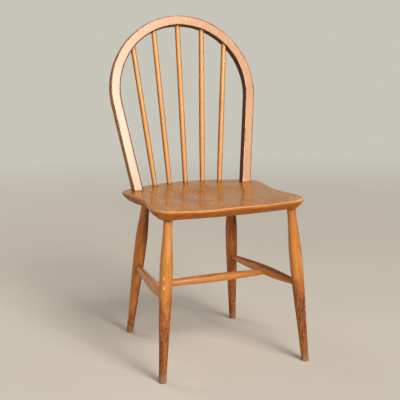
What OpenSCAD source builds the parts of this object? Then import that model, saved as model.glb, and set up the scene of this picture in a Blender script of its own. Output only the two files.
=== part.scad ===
// Hoop-back wooden side chair: a dished seat, a steam-bent hoop, five spindles,
// four turned legs that come through the seat and are wedged there, and an H of
// turned stretchers. Millimetres, +Z up, the front of the chair towards -Y.
// The origin is on the floor, under the middle of the chair's overall box.

/* [Seat] */
// Height of the seat's flat rim above the floor
seat_height = 430; // [380:1:520]
// Depth of the seat, front edge to back edge
seat_depth = 417; // [360:1:500]
// Width of the seat across its front corners
seat_front_w = 402; // [360:1:490]
// Width of the seat at its waist
seat_waist_w = 368; // [330:1:450]
// Width of the seat across its back corners
seat_rear_w = 396; // [360:1:500]
// Thickness of the seat board
seat_t = 27; // [24:1:36]
// How far the underside is cut in from the rim at the sides and back
side_undercut = 19; // [12:1:22]
// How far the underside is cut in from the rim at the front
front_undercut = 32; // [12:1:36]
// Radius of the front corners in plan
front_corner_r = 60; // [50:1:80]
// Radius of the back corners in plan
rear_corner_r = 28; // [24:1:36]
// Angle of the front edge where it meets the corners
front_bow = 9; // [4:1:14]
// Angle of the back edge where it meets the corners
rear_bow = 38; // [30:1:42]
// Depth of the hollow that is sat in
dish_depth = 9; // [4:0.5:12]
// Depth of the two thigh hollows at the front edge
thigh_depth = 1.5; // [0:0.5:6]

/* [Legs] */
// Thickest diameter of a leg
leg_d = 33; // [30:1:40]
// Diameter of a leg at the floor
leg_foot_d = 19.5; // [15:0.5:26]
// Diameter of a leg's neck, which goes on up through the seat as its tenon
leg_neck_d = 22.5; // [20:0.5:25]
// Height of a leg's thickest place, measured down from the seat's underside
leg_swell_drop = 126; // [100:1:160]
// Front legs: inset of the top from the seat's side
front_leg_inset_x = 36.5; // [34:0.5:60]
// Front legs: inset of the top from the seat's front
front_leg_inset_y = 56; // [48:1:80]
// Front legs: sideways splay
front_splay = 4.4; // [2:0.1:8]
// Front legs: forward rake
front_rake = 2.7; // [0:0.1:8]
// Back legs: inset of the top from the seat's side
rear_leg_inset_x = 74; // [66:0.5:90]
// Back legs: inset of the top from the seat's back
rear_leg_inset_y = 62; // [58:0.5:76]
// Back legs: sideways splay
rear_splay = 5; // [2:0.1:8]
// Back legs: backward rake
rear_rake = 12; // [6:0.1:15]

/* [Stretchers] */
// Height of the side stretchers at the front legs
stretcher_h_front = 206; // [150:1:230]
// Height of the side stretchers at the back legs
stretcher_h_rear = 201; // [150:1:230]
// Thickest diameter of a side stretcher
side_d = 26.5; // [20:0.5:30]
// Diameter of a side stretcher's ends
side_end_d = 15.5; // [11:0.5:18]
// Thickest diameter of the cross stretcher
cross_d = 22.5; // [15:0.5:26]
// Diameter of the cross stretcher's ends
cross_end_d = 15; // [10:0.5:17]
// Place of the cross stretcher, as a share of the way from front leg to back leg
cross_place = 0.42; // [0.35:0.01:0.6]

/* [Hoop] */
// Radius of the hoop's centre line round the top
hoop_r = 193; // [165:1:230]
// Height of the hoop's centre above the seat, along the hoop's lean
hoop_rise = 262.5; // [230:0.5:300]
// Width of the hoop's front face
hoop_w = 27; // [24:0.5:30]
// Depth of the hoop, front to back
hoop_d = 23; // [21:0.5:28]
// Radius of the hoop's rounded edges
hoop_round = 3.5; // [1:0.5:6]
// Backward lean of the hoop
hoop_lean = 12.5; // [6:0.1:18]
// Inset of the hoop's feet from the seat's sides
hoop_foot_inset_x = 42; // [36:0.5:52]
// Inset of the hoop's front face from the seat's back, at the rim
hoop_foot_inset_y = 98.5; // [92:0.5:108]
// Diameter of the round tenons under the hoop's feet
hoop_tenon_d = 18; // [15:0.5:20]

/* [Spindles] */
// Thickest diameter of a spindle
spindle_d = 15; // [13:0.5:17]
// Diameter of a spindle's foot
spindle_foot_d = 13.5; // [11:0.5:15]
// Diameter of a spindle's top
spindle_top_d = 14; // [9:0.5:15]
// Second and fourth spindles: distance from the middle at the seat
spindle_inner_seat = 48.5; // [38:0.5:52]
// Second and fourth spindles: distance from the middle at the hoop
spindle_inner_hoop = 69; // [50:0.5:72]
// Outer spindles: distance from the middle at the seat
spindle_outer_seat = 94.5; // [76:0.5:98]
// Outer spindles: distance from the middle at the hoop
spindle_outer_hoop = 131.5; // [100:0.5:140]
// Inset of the middle spindle from the seat's back
spindle_inset = 31; // [28:1:40]
// Radius of the curve that the spindles' feet stand on
spindle_arc_r = 255; // [200:5:400]

/* [Joints] */
// Radial glue gap of every tenon in its hole
glue_gap = 0.1; // [0.05:0.05:0.2]
// Depth of the spindles' holes in the seat
seat_hole_depth = 20; // [14:1:22]
// Depth of the spindles' holes in the hoop
hoop_hole_depth = 15; // [12:1:18]
// Distance that a stretcher's end stops short of its partner's axis
stretcher_stop = 1.5; // [0.5:0.5:3]
// Thickness of a wedge at its head
wedge_t = 3.2; // [2:0.2:4.4]
// Length of a wedge
wedge_len = 20; // [14:1:22]

/* [Hidden] */

FRONT = 0;
REAR = 1;
LEFT = -1;
RIGHT = 1;
$fn = 48;

beech = [0.80, 0.55, 0.28];
bent_beech = [0.89, 0.66, 0.44];
elm = [0.70, 0.47, 0.27];
wedge_wood = [0.62, 0.38, 0.20];

seat_under = seat_height - seat_t;
front_y = -seat_depth / 2;
rear_y = seat_depth / 2;
front_half = seat_front_w / 2;
waist_half = seat_waist_w / 2;
rear_half = seat_rear_w / 2;
stock = 1000;    // bigger than any piece, for trimming planes
wedge_tip = 0.8; // thickness of a wedge at its thin end
end_gap = 0.5;   // left under a tenon that stops in a blind hole
run_out = 6;     // a turned piece stays cylindrical this far outside its hole
neck_run = 14;   // and a leg this far below the seat

// ---- Small vector helpers -------------------------------------------------

function unit(v) = v / norm(v);
function mix(a, b, t) = a + (b - a) * t;

// A rise from 0 to 1 that starts and ends level.
function ease(t) = (1 - cos(180 * max(0, min(1, t)))) / 2;

// Turns the children's +Z axis to run from a to b, and starts them at a.
module along(a, b) {
    v = b - a;
    translate(a)
        rotate([0, acos(v.z / norm(v)), atan2(v.y, v.x)])
            children();
}

// A solid of revolution about +Z from a list of [distance, diameter].
module turned(stations) {
    first = stations[0][0];
    last = stations[len(stations) - 1][0];
    rotate_extrude()
        polygon(concat(
            [[0, first]],
            [for (s = stations) [s[1] / 2, s[0]]],
            [[0, last]]
        ));
}

module above(z)
    translate([-stock, -stock, z])
        cube([2 * stock, 2 * stock, stock]);

module below(z)
    translate([-stock, -stock, z - stock])
        cube([2 * stock, 2 * stock, stock]);

// The children are drawn for the left side, and mirrored for the right.
module facing(side)
    mirror([side == RIGHT ? 1 : 0, 0, 0])
        children();

// ---- Where the legs, stretchers, hoop and spindles run ---------------------

function leg_top(end, side) = end == FRONT
    ? [side * (front_half - front_leg_inset_x), front_y + front_leg_inset_y, seat_under]
    : [side * (rear_half - rear_leg_inset_x), rear_y - rear_leg_inset_y, seat_under];

// Unit vector up the leg.
function leg_dir(end, side) = end == FRONT
    ? unit([-side * tan(front_splay), tan(front_rake), 1])
    : unit([-side * tan(rear_splay), -tan(rear_rake), 1]);

function on_leg(end, side, z) =
    leg_top(end, side) + leg_dir(end, side) * (z - seat_under) / leg_dir(end, side).z;

function side_end(end, side) =
    on_leg(end, side, end == FRONT ? stretcher_h_front : stretcher_h_rear);

function cross_end(side) = mix(side_end(FRONT, side), side_end(REAR, side), cross_place);

hoop_y = rear_y - hoop_foot_inset_y;
hoop_foot_wish = rear_half - hoop_foot_inset_x;
hoop_reach = norm([hoop_foot_wish, hoop_rise]);
// Angle at which the straight legs draw in towards the seat, to a tenth of a degree.
hoop_draw = round(10 * (atan2(hoop_rise, hoop_foot_wish) - acos(hoop_r / hoop_reach))) / 10;
hoop_leg = (hoop_rise - hoop_r * sin(hoop_draw)) / cos(hoop_draw);
hoop_foot = hoop_r * cos(hoop_draw) - hoop_leg * sin(hoop_draw);

// A point of the hoop: x across, n back from its front face, v up its lean.
function hoop_point(x, n, v) = [
    x,
    hoop_y + v * sin(hoop_lean) + n * cos(hoop_lean),
    seat_height + v * cos(hoop_lean) - n * sin(hoop_lean),
];

// Place across the chair of spindle i, counted from the middle one, 0.
function spindle_x(i, inner, outer) =
    sign(i) * [0, inner, outer][abs(i)];

function spindle_foot(i) = let (x = spindle_x(i, spindle_inner_seat, spindle_outer_seat)) [
    x,
    rear_y - spindle_inset - spindle_arc_r + sqrt(pow(spindle_arc_r, 2) - x * x),
    seat_height,
];

function spindle_top(i) = let (
    x = spindle_x(i, spindle_inner_hoop, spindle_outer_hoop),
    r = hoop_r - hoop_w / 2
) hoop_point(x, hoop_d / 2, hoop_rise + sqrt(r * r - x * x));

// The whole chair is slid so that its overall box is centred on the origin.
front_most = min(front_y, on_leg(FRONT, LEFT, 0).y - leg_foot_d / 2);
rear_most = max(
    on_leg(REAR, LEFT, 0).y + leg_foot_d / 2 / cos(rear_rake),
    hoop_point(0, hoop_d, hoop_rise + hoop_r + hoop_w / 2).y
);
module placed() translate([0, -(front_most + rear_most) / 2, 0]) children();

// ---- Seat ------------------------------------------------------------------

dish_half_w = waist_half - 22;       // half width of the sat-in hollow
dish_front = front_y + 76;           // where the hollow starts, front to back
dish_rear = hoop_y - 4;              // and where it ends, clear of the hoop's feet
thigh_x = front_half * 0.4;          // place of each thigh hollow
thigh_half = 42;                     // and its half width
edge_steps = 8;                      // points to each stretch of the outline
ring_steps = [0.98, 0.93, 0.84, 0.72, 0.58, 0.43, 0.28, 0.14]; // rings of the top

function dish(x, y) = let (
        mid = (dish_front + dish_rear) / 2,
        r2 = pow(x / dish_half_w, 2) + pow((y - mid) / (dish_rear - mid), 2)
    ) r2 < 1 ? -dish_depth * pow(1 - r2, 1.5) : 0;

function thigh(x, y) =
    -thigh_depth * exp(-pow((abs(x) - thigh_x) / thigh_half, 2))
        * ease((dish_front + 40 - y) / (dish_front + 40 - front_y));

function saddle(p) = dish(p.x, p.y) + thigh(p.x, p.y);

// Half the outline, from the middle of the front to the middle of the back:
// bowed front edge, corner arc, eased side in to the waist and out, corner, back.
function end_x(half, r, bow) = half - r + r * sin(bow);
function end_bow(half, r, bow) = end_x(half, r, bow) * tan(bow / 2);
function edge_arc(half, r, bow) = let (x = end_x(half, r, bow), big = x / sin(bow))
    [for (k = [0:edge_steps - 1]) let (a = bow * k / edge_steps)
        [big * sin(a), big * (1 - cos(a))]];
function corner_arc(half, r, bow) = let (
        y = end_bow(half, r, bow) + r * cos(bow)
    ) [for (k = [0:edge_steps - 1]) let (a = mix(90 - bow, 0, k / edge_steps))
        [half - r + r * cos(a), y - r * sin(a)]];
function corner_end(half, r, bow) = end_bow(half, r, bow) + r * cos(bow);

side_front = front_y + corner_end(front_half, front_corner_r, front_bow);
side_rear = rear_y - corner_end(rear_half, rear_corner_r, rear_bow);
side_waist = mix(side_front, side_rear, 0.47);
function side_run(half, y_from, y_to, half_to) =
    [for (k = [0:edge_steps - 1]) let (t = k / edge_steps)
        [mix(half, half_to, ease(t)), mix(y_from, y_to, t)]];

front_part = concat(
    edge_arc(front_half, front_corner_r, front_bow),
    corner_arc(front_half, front_corner_r, front_bow)
);
rear_part = concat(
    edge_arc(rear_half, rear_corner_r, rear_bow),
    corner_arc(rear_half, rear_corner_r, rear_bow)
);
half_outline = concat(
    [for (p = front_part) [p.x, front_y + p.y]],
    side_run(front_half, side_front, side_waist, waist_half),
    side_run(waist_half, side_waist, side_rear, rear_half),
    [[rear_half, side_rear]],
    [for (k = [len(rear_part) - 1:-1:0]) [rear_part[k].x, rear_y - rear_part[k].y]]
);
outline = concat(
    half_outline,
    [for (k = [len(half_outline) - 2:-1:1]) [-half_outline[k].x, half_outline[k].y]]
);
n_out = len(outline);

// Outward normal of the outline at point k, and the outline drawn in by d.
function out_normal(k) = let (
        t = outline[(k + 1) % n_out] - outline[(k + n_out - 1) % n_out]
    ) unit([t.y, -t.x]);
function drawn_in(d) = [for (k = [0:n_out - 1]) outline[k] - d * out_normal(k)];

// The underside's outline, cut in further where the edge faces the front.
function under_cut(n) = mix(side_undercut, front_undercut, ease((-n.y - 0.8) / 0.2));
function cut_under(share) = [for (k = [0:n_out - 1])
    outline[k] - share * under_cut(out_normal(k)) * out_normal(k)];

edge_drop = 6;   // the rim's widest place below its top
under_steps = 5; // rings from there down to the underside
rim_section = [[0, edge_drop], [0.8, 2.8], [2.6, 0.9], [5.4, 0.1]]; // [drawn in, drop]
top_inset = 9; // the edge's rounding has died out here

function ring(points, drop, share) =
    [for (p = points) [p.x, p.y, seat_height + share * saddle(p) - drop]];
seat_rings = concat(
    [for (k = [under_steps:-1:1]) let (t = k / under_steps)
        ring(cut_under(pow(t, 1.4)), mix(edge_drop, seat_t, t), 1 - t)],
    [for (s = rim_section) ring(drawn_in(s[0]), s[1], 1)],
    [ring(drawn_in(top_inset), 0, 1)],
    [for (f = ring_steps) ring([for (p = drawn_in(top_inset)) p * f], 0, 1)]
);
n_rings = len(seat_rings);

module seat_blank()
    polyhedron(
        points = concat(
            [for (r = seat_rings) each r],
            [[0, 0, seat_height + saddle([0, 0])]]
        ),
        faces = concat(
            [[for (k = [0:n_out - 1]) k]],
            [for (j = [0:n_rings - 2]) for (k = [0:n_out - 1]) let (
                    a = j * n_out + k,
                    b = j * n_out + (k + 1) % n_out
                ) each [[a, b + n_out, b], [a, a + n_out, b + n_out]]],
            [for (k = [0:n_out - 1]) [
                (n_rings - 1) * n_out + k,
                n_rings * n_out,
                (n_rings - 1) * n_out + (k + 1) % n_out,
            ]]
        ),
        convexity = 6
    );

module seat()
    color(elm)
        difference() {
            seat_blank();
            for (end = [FRONT, REAR], side = [LEFT, RIGHT])
                leg_tenon(end, side, glue_gap);
            for (side = [LEFT, RIGHT])
                hoop_tenon(side, glue_gap);
            for (i = [-2:2])
                spindle_hole_in_seat(i);
        }

// ---- Legs and their wedges ---------------------------------------------------

// A leg's tenon on its own axis, from below the seat to above it.
module leg_tenon(end, side, grow) {
    past = 12;
    along(on_leg(end, side, seat_under - past), on_leg(end, side, seat_height))
        cylinder(
            h = (seat_t + 2 * past) / leg_dir(end, side).z,
            d = leg_neck_d + 2 * grow
        );
}

// Tapered slip across the end of a round tenon at p; a longer one is its slot.
module wedge_slip(p, dir, length) {
    head = 6; // stands past the face that it is trimmed to
    tip = wedge_t - (wedge_t - wedge_tip) * length / wedge_len;
    proud = wedge_t + (wedge_t - wedge_tip) * head / wedge_len;
    translate(p)
        rotate([-atan2(dir.y, dir.z), 0, 0])
            rotate([90, 0, 90])
                linear_extrude(height = 2 * leg_neck_d, center = true)
                    polygon([
                        [-tip / 2, -length], [tip / 2, -length],
                        [proud / 2, head], [-proud / 2, head],
                    ]);
}

// The leg's diameter at height z: swells from the foot, then draws in to the neck.
leg_swell_z = seat_under - leg_swell_drop;
leg_neck_z = seat_under - neck_run;
function leg_diameter(z) = z < leg_swell_z
    ? mix(leg_foot_d, leg_d, pow(ease(z / leg_swell_z), 0.85))
    : mix(leg_d, leg_neck_d, ease((z - leg_swell_z) / (leg_neck_z - leg_swell_z)));

module leg_blank(end) {
    steps = 20;
    past = 12; // longer than the leg at both ends, to be trimmed
    slope = leg_dir(end, LEFT).z;
    along(on_leg(end, LEFT, 0), on_leg(end, LEFT, seat_height))
        turned(concat(
            [[-past, leg_foot_d]],
            [for (k = [0:steps]) let (z = leg_neck_z * k / steps)
                [z / slope, leg_diameter(z)]],
            [[seat_height / slope + past, leg_neck_d]]
        ));
}

module leg(end, side)
    color(beech)
        facing(side)
            difference() {
                leg_blank(end);
                below(0);
                above(seat_height);
                wedge_slip(
                    on_leg(end, LEFT, seat_height), leg_dir(end, LEFT), wedge_len + end_gap
                );
                stretcher_hole_in_leg(end);
            }

module leg_wedge(end, side)
    color(wedge_wood)
        difference() {
            intersection() {
                leg_tenon(end, side, 0);
                wedge_slip(
                    on_leg(end, side, seat_height), leg_dir(end, side), wedge_len
                );
            }
            above(seat_height);
        }

// ---- Stretchers ---------------------------------------------------------------

// Stations of a turned stretcher of that length: cylindrical ends, thickest at
// share `at` of the way along.
function stretcher_stations(length, end_d, mid_d, plain, at) = let (steps = 10) concat(
    [[stretcher_stop, end_d]],
    [for (k = [0:steps]) let (t = k / steps)
        [mix(plain, at * length, t), mix(end_d, mid_d, ease(t * 0.5 + 0.5) * 2 - 1)]],
    [for (k = [1:steps]) let (t = k / steps)
        [mix(at * length, length - plain, t), mix(mid_d, end_d, 1 - sin(90 * (1 - t)))]],
    [[length - stretcher_stop, end_d]]
);

module stretcher_hole_in_leg(end) {
    here = side_end(end, LEFT);
    there = side_end(end == FRONT ? REAR : FRONT, LEFT);
    along(here + unit(there - here) * (stretcher_stop - end_gap), there)
        cylinder(h = leg_d, d = side_end_d + 2 * glue_gap);
}

module side_stretcher(side) {
    a = side_end(FRONT, side);
    b = side_end(REAR, side);
    color(beech)
        difference() {
            along(a, b)
                turned(stretcher_stations(
                    norm(b - a), side_end_d, side_d, leg_d / 2 + run_out, cross_place
                ));
            along(
                cross_end(side) + unit(cross_end(-side) - cross_end(side))
                    * (stretcher_stop - end_gap),
                cross_end(-side)
            )
                cylinder(h = side_d, d = cross_end_d + 2 * glue_gap);
        }
}

module cross_stretcher() {
    a = cross_end(LEFT);
    b = cross_end(RIGHT);
    color(beech)
        along(a, b)
            turned(stretcher_stations(
                norm(b - a), cross_end_d, cross_d, side_d / 2 + run_out, 0.5
            ));
}

// ---- Hoop and its wedges --------------------------------------------------------

module in_hoop()
    translate([0, hoop_y, seat_height])
        rotate([-hoop_lean, 0, 0])
            children();

// Section of the hoop: x across its face, y from its back, -hoop_d, to its front.
module hoop_section() {
    flat_w = hoop_w - 2 * hoop_round;
    flat_d = hoop_d - 2 * hoop_round;
    translate([-hoop_w / 2, -hoop_d + hoop_round]) square([hoop_w, flat_d]);
    translate([-flat_w / 2, -hoop_d]) square([flat_w, hoop_d]);
    for (x = [-flat_w / 2, flat_w / 2], y = [-hoop_d + hoop_round, -hoop_round])
        translate([x, y]) circle(r = hoop_round);
}

// The hoop's own plane, turned so that the straight leg of that side lies along
// local Y: the right leg runs down from X, the left leg runs up from it.
module at_hoop_leg(side)
    translate([0, 0, hoop_rise])
        rotate([90, 0, 0])
            rotate([0, 0, side == RIGHT ? -hoop_draw : 180 + hoop_draw])
                children();

module hoop_bend()
    at_hoop_leg(RIGHT)
        rotate_extrude(angle = 180 + 2 * hoop_draw, $fn = 128)
            translate([hoop_r, 0])
                hoop_section();

module hoop_straight(side) {
    length = hoop_leg + 12; // runs below the rim, and is trimmed to it
    at_hoop_leg(side)
        translate([hoop_r, side == RIGHT ? 0 : length, 0])
            rotate([90, 0, 0])
                linear_extrude(height = length)
                    hoop_section();
}

module hoop_tenon(side, grow) {
    inside = 14;
    past = 12;
    length = seat_t + inside + past;
    end = hoop_leg + seat_t + past;
    in_hoop()
        at_hoop_leg(side)
            translate([hoop_r, side == RIGHT ? length - end : end, -hoop_d / 2])
                rotate([90, 0, 0])
                    cylinder(h = length, d = hoop_tenon_d + 2 * grow);
}

hoop_dir = unit(hoop_point(0, 0, 1) - hoop_point(0, 0, 0));

// Middle of a hoop tenon where it comes out under the seat.
function hoop_tenon_end(side) = let (
        top = hoop_point(side * hoop_foot, hoop_d / 2, 0),
        down = unit(
            hoop_point(side * (hoop_foot - sin(hoop_draw)), hoop_d / 2, -cos(hoop_draw)) - top
        )
    ) top + down * (seat_under - top.z) / down.z;

module hoop_wedge_slip(side, length) {
    p = hoop_tenon_end(side);
    translate(p)
        mirror([0, 0, 1])
            translate(-p)
                wedge_slip(p, [0, -hoop_dir.y, hoop_dir.z], length);
}

module hoop()
    color(bent_beech)
        difference() {
            union() {
                difference() {
                    in_hoop() {
                        hoop_bend();
                        hoop_straight(LEFT);
                        hoop_straight(RIGHT);
                    }
                    below(seat_height);
                }
                hoop_tenon(LEFT, 0);
                hoop_tenon(RIGHT, 0);
            }
            below(seat_under);
            for (side = [LEFT, RIGHT])
                hoop_wedge_slip(side, wedge_len + end_gap);
            for (i = [-2:2])
                spindle_hole_in_hoop(i);
        }

module hoop_wedge(side)
    color(wedge_wood)
        difference() {
            intersection() {
                hoop_tenon(side, 0);
                hoop_wedge_slip(side, wedge_len);
            }
            below(seat_under);
        }

// ---- Spindles ---------------------------------------------------------------------

module spindle_hole_in_seat(i)
    along(spindle_foot(i), spindle_foot(i) * 2 - spindle_top(i))
        translate([0, 0, -seat_hole_depth])
            cylinder(h = 2 * seat_hole_depth, d = spindle_foot_d + 2 * glue_gap);

module spindle_hole_in_hoop(i)
    along(spindle_top(i), spindle_top(i) * 2 - spindle_foot(i))
        translate([0, 0, -2 * hoop_w])
            cylinder(h = hoop_hole_depth + 2 * hoop_w, d = spindle_top_d + 2 * glue_gap);

module spindle(i) {
    length = norm(spindle_top(i) - spindle_foot(i));
    plain_foot = 8;           // cylindrical above the seat
    plain_top = hoop_w + run_out;
    belly = 0.3;              // share of the way up where it is thickest
    steps = 8;
    color(beech)
        along(spindle_foot(i), spindle_top(i))
            turned(concat(
                [[end_gap - seat_hole_depth, spindle_foot_d]],
                [for (k = [0:steps]) let (t = k / steps)
                    [mix(plain_foot, belly * length, t),
                        mix(spindle_foot_d, spindle_d, ease(t))]],
                [for (k = [1:steps]) let (t = k / steps)
                    [mix(belly * length, length - plain_top, t),
                        mix(spindle_d, spindle_top_d, ease(t))]],
                [[length + hoop_hole_depth - end_gap, spindle_top_d]]
            ));
}

// ---- The chair ----------------------------------------------------------------------

placed() {
    seat();
    hoop();
    spindle(-2);  // spindle_1
    spindle(-1);  // spindle_2
    spindle(0);  // spindle_3
    spindle(1);  // spindle_4
    spindle(2);  // spindle_5
    leg(FRONT, LEFT);  // leg_front_left
    leg(FRONT, RIGHT);  // leg_front_right
    leg(REAR, LEFT);  // leg_rear_left
    leg(REAR, RIGHT);  // leg_rear_right
    side_stretcher(LEFT);  // side_stretcher_left
    side_stretcher(RIGHT);  // side_stretcher_right
    cross_stretcher();
    leg_wedge(FRONT, LEFT);  // leg_wedge_front_left
    leg_wedge(FRONT, RIGHT);  // leg_wedge_front_right
    leg_wedge(REAR, LEFT);  // leg_wedge_rear_left
    leg_wedge(REAR, RIGHT);  // leg_wedge_rear_right
    hoop_wedge(LEFT);  // hoop_wedge_left
    hoop_wedge(RIGHT);  // hoop_wedge_right
}
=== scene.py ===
"""Hoop-back side chair: smooth, detailed pieces and worn-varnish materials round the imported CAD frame.

Metres, +Z up, the front of the chair towards -Y, the same frame as the CAD. The axes and diameters
of the turned pieces are read off their CAD nodes. The seat's and the hoop's rules are those of the
CAD source.
"""

import math

import bpy
import numpy as np
from mathutils import Matrix, Vector


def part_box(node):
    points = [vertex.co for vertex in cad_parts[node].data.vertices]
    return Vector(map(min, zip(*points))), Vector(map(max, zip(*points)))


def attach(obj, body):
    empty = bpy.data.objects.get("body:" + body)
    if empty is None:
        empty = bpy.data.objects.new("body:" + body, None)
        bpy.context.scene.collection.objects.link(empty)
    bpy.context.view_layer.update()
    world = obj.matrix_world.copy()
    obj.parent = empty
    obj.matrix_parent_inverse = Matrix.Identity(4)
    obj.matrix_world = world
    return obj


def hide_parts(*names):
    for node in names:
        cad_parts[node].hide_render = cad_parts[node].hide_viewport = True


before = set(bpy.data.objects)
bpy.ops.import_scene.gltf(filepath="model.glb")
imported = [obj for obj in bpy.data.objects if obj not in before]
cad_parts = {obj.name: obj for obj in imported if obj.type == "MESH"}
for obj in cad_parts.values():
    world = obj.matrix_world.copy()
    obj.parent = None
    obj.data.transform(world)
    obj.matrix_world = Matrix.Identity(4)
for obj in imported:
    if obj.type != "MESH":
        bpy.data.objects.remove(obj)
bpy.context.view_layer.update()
rng = np.random.default_rng(41)

MM = 0.001
SEAT_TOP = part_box("seat")[1].z
SEAT_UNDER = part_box("seat")[0].z
SEAT_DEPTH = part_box("seat")[1].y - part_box("seat")[0].y
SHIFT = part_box("seat")[1].y - SEAT_DEPTH / 2  # the seat's middle, front to back
PROUD = 0.25 * MM  # tenon ends stand this far out of the seat
SKIN = 0.03 * MM  # seat and hoop lie this far inside the CAD's skin, and so inside its box


# ---- Small helpers ----


def smooth(low, high, x):
    t = np.clip((np.asarray(x, float) - low) / (high - low), 0, 1)
    return t * t * (3 - 2 * t)


def unit(v):
    return np.asarray(v, float) / np.linalg.norm(v)


def stacked(*columns):
    """Points or triples, from arrays or numbers for their parts."""
    return np.stack(np.broadcast_arrays(*columns), axis=-1)


def direction(azimuth, elevation):
    """The way from the chair towards a camera or a lamp, with azimuth 0 at the front."""
    level = math.cos(elevation)
    return Vector((math.sin(azimuth) * level, -math.cos(azimuth) * level, math.sin(elevation)))


def linear(r, g, b):
    """An sRGB colour of 0 to 255, as linear RGBA."""
    out = []
    for c in (r, g, b):
        c /= 255
        out.append(c / 12.92 if c <= 0.04045 else ((c + 0.055) / 1.055) ** 2.4)
    return (*out, 1)


CAP_SHARES = (0.93, 0.75, 0.5, 0.25)  # sizes of the rings that close an end


class Patch:
    """A mesh in the making, with what the materials read at each vertex.

    grain: the wood's own coordinates, with the fibres along z. wear: chips, browning
    (stain, and painted shade), and paling (rub, and painted highlights).
    dirt_and_shade: grime and painted shade, bare wood and end grain.
    """

    def __init__(self):
        self.points, self.grain, self.wear, self.dirt_and_shade, self.faces = [], [], [], [], []

    def store(self, *fields):
        """Keeps new vertices with their grain, wear and painted light, dirt and shade, and returns the
        number of the first.
        """
        first = sum(len(p) for p in self.points)
        for kept, values in zip((self.points, self.grain, self.wear, self.dirt_and_shade), fields):
            kept.append(values.reshape(-1, 3))
        return first

    def add(self, *fields):
        """A closed skin over rings: points, grain, wear and painted light, and dirt and shade, each an
        array of (rings, points, 3).
        """
        fields = [np.asarray(field, float) for field in fields]
        m, n = fields[0].shape[:2]
        base = self.store(*fields)
        nxt = (np.arange(n) + 1) % n
        for j in range(m - 1):
            a, b = base + j * n, base + (j + 1) * n
            self.faces += [(a + k, a + nxt[k], b + nxt[k], b + k) for k in range(n)]
        self.close(base, [field[0] for field in fields], True)
        self.close(base + (m - 1) * n, [field[-1] for field in fields], False)

    def close(self, before, fields, flipped):
        """Closes the end ring that starts at vertex before, with smaller rings and a middle point."""
        n = len(fields[0])
        nxt = (np.arange(n) + 1) % n
        for share in CAP_SHARES:
            base = self.store(*(field.mean(0) + (field - field.mean(0)) * share for field in fields))
            for k in range(n):
                quad = (before + k, before + nxt[k], base + nxt[k], base + k)
                self.faces.append(quad[::-1] if flipped else quad)
            before = base
        base = self.store(*(field.mean(0) for field in fields))
        for k in range(n):
            tri = (before + k, before + nxt[k], base)
            self.faces.append(tri[::-1] if flipped else tri)

    def build(self, name, nodes, material):
        mesh = bpy.data.meshes.new(name)
        faces = [tuple(int(v) for v in face) for face in self.faces]
        mesh.from_pydata(np.concatenate(self.points).tolist(), [], faces)
        for label, kept in (("grain", self.grain), ("wear", self.wear), ("dirt_and_shade", self.dirt_and_shade)):
            values = np.concatenate(kept).astype(np.float32)
            mesh.attributes.new(label, "FLOAT_VECTOR", "POINT").data.foreach_set("vector", values.ravel())
        mesh.polygons.foreach_set("use_smooth", [True] * len(mesh.polygons))
        mesh.update()
        mesh.materials.append(material)
        piece = bpy.data.objects.new(name, mesh)
        bpy.context.scene.collection.objects.link(piece)
        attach(piece, "root")
        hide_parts(*nodes)


# ---- The camera, at the photograph's angle ----

CAMERA_AZ, CAMERA_EL, CAMERA_ROLL = math.radians(-20.58), math.radians(10.79), math.radians(-1.06)
CAMERA_DISTANCE = 2.449
CAMERA_TARGET = Vector((-0.0201, -0.0064, 0.4112))
LENS_MM, SENSOR_MM = 84.16, 36


def make_camera():
    back = direction(CAMERA_AZ, CAMERA_EL)
    right = Vector((math.cos(CAMERA_AZ), math.sin(CAMERA_AZ), 0))
    up = back.cross(right)
    level, tip = math.cos(CAMERA_ROLL), math.sin(CAMERA_ROLL)
    across, upward = right * level + up * tip, up * level - right * tip
    data = bpy.data.cameras.new("camera")
    data.lens, data.sensor_width = LENS_MM, SENSOR_MM
    camera = bpy.data.objects.new("camera", data)
    turn = Matrix((across, upward, back)).transposed()
    camera.matrix_world = Matrix.LocRotScale(CAMERA_TARGET + back * CAMERA_DISTANCE, turn, None)
    bpy.context.scene.collection.objects.link(camera)
    bpy.context.scene.camera = camera


make_camera()


# ---- Material nodes ----


class Nodes:
    """One node tree, and short calls that make nodes in it and link them."""

    def __init__(self, tree):
        self.tree = tree
        tree.nodes.clear()

    def put(self, socket, value):
        if isinstance(value, bpy.types.NodeSocket):
            self.tree.links.new(value, socket)
        else:
            socket.default_value = value

    def node(self, kind, inputs, **settings):
        node = self.tree.nodes.new("ShaderNode" + kind)
        for key, value in settings.items():
            setattr(node, key, value)
        for key, value in inputs.items():
            self.put(node.inputs[key], value)
        return node

    def math(self, operation, a, b):
        return self.node("Math", {0: a, 1: b}, operation=operation).outputs[0]

    def chained(self, operation, values):
        out = values[0]
        for v in values[1:]:
            out = self.math(operation, out, v)
        return out

    def times(self, *values):
        return self.chained("MULTIPLY", values)

    def plus(self, *values):
        return self.chained("ADD", values)

    def most(self, *values):
        return self.chained("MAXIMUM", values)

    def seen(self):
        """1 for a ray that shows the backdrop, straight to the camera or by way of metal or glass."""
        rays = self.node("LightPath", {}).outputs
        return self.most(rays["Is Glossy Ray"], rays["Is Transmission Ray"], rays["Is Camera Ray"])


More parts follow.
